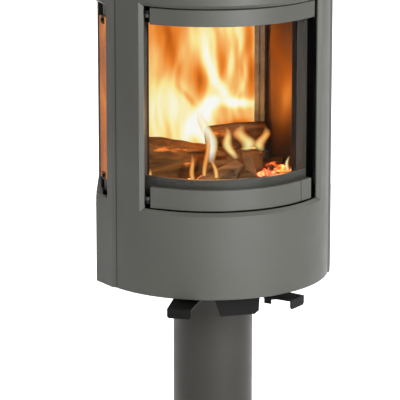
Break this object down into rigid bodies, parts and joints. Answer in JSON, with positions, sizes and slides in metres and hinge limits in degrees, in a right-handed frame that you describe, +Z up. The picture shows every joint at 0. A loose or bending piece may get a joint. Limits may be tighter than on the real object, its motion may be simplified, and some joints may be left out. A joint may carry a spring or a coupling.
{
  "type": "wood burning stove",
  "caption": "Round wood burning stove on a tubular pedestal, with a curved glass door, narrow side windows, a shaker grate and bent-plate air levers under the body.",
  "frame": {"origin": "on the floor, on the axis of the pedestal column", "axes": "+Z up, the glass door faces -Y, +X is the stove's side at the viewer's right"},
  "size_m": [0.5162, 0.486, 1.192],
  "materials": {
    "grey_paint": "satin metallic grey stove paint",
    "pedestal_paint": "satin dark grey stove paint",
    "back_paint": "matt grey stove paint",
    "black_iron": "heat-blackened cast iron",
    "grey_iron": "bare grey cast iron",
    "black_steel": "semi-gloss black",
    "bright_steel": "zinc plated steel",
    "fire_board": "insulating fire board",
    "fire_glass": "clear heat-proof glass",
    "rope": "woven glass rope"
  },
  "bodies": {
    "stove": {"base_plate": "pedestal_paint", "column_tube": "pedestal_paint", "column_top_plate": "back_paint", "column_bolts": "bright_steel", "bottom_plate": "back_paint", "front_shell": "grey_paint", "left_side_casing": "grey_paint", "right_side_casing": "grey_paint", "rear_casing": "back_paint", "rear_heat_shield": "bright_steel", "rear_outlet_cover": "back_paint", "cover_screws": "bright_steel", "top_plate": "grey_paint", "flue_spigot": "back_paint", "spigot_screws": "bright_steel", "front_frame": "black_iron", "left_front_post": "black_iron", "right_front_post": "black_iron", "left_rear_post": "grey_iron", "right_rear_post": "grey_iron", "left_flank_wall": "black_iron", "right_flank_wall": "black_iron", "rear_wall": "black_iron", "rear_brick": "fire_board", "left_brick": "fire_board", "right_brick": "fire_board", "firebox_floor": "black_iron", "firebox_ceiling": "black_iron", "baffle_board": "fire_board", "baffle_rests": "black_iron", "left_window_frame": "black_iron", "right_window_frame": "black_iron", "left_window_glass": "fire_glass", "right_window_glass": "fire_glass", "left_window_clips": "black_steel", "right_window_clips": "black_steel", "ash_chamber": "black_iron", "ash_pan": "bright_steel", "hinge_ears": "black_iron", "latch_keeper": "black_steel", "primary_pin": "bright_steel", "secondary_pin": "bright_steel"},
    "door": {"door_top_rail": "grey_paint", "door_bottom_rail": "grey_paint", "door_inner_frame": "black_iron", "door_glass": "fire_glass", "door_rope_seal": "rope", "door_glass_clips": "bright_steel", "hinge_pins": "bright_steel", "latch_pin": "bright_steel"},
    "latch": {"latch_handle": "grey_paint"},
    "primary_air": {"primary_lever": "black_steel", "primary_shutter": "bright_steel"},
    "secondary_air": {"secondary_lever": "black_steel", "secondary_shutter": "bright_steel"},
    "riddling": {"riddling_lever": "black_steel", "riddling_bar": "black_iron", "shaker_grate": "black_iron"}
  },
  "joints": [
    {"name": "door_hinge", "type": "hinge", "parent": "stove", "child": "door", "pos_m": [-0.17687, -0.14125, 0.82], "axis": [0, 0, -1], "range_deg": [0, 95]},
    {"name": "latch_hinge", "type": "hinge", "parent": "door", "child": "latch", "pos_m": [0.14378, -0.16471, 0.64], "axis": [0, 0, -1], "range_deg": [0, 18], "stiffness_Nm_per_rad": 0.4},
    {"name": "primary_swing", "type": "hinge", "parent": "stove", "child": "primary_air", "pos_m": [-0.066, -0.098, 0.43], "axis": [0, 0, 1], "range_deg": [-12, 12]},
    {"name": "secondary_swing", "type": "hinge", "parent": "stove", "child": "secondary_air", "pos_m": [0.03, -0.109, 0.43], "axis": [0, 0, 1], "range_deg": [-5, 15]},
    {"name": "riddling_slide", "type": "slide", "parent": "stove", "child": "riddling", "axis": [0, -1, 0], "range_m": [0, 0.022]}
  ]
}
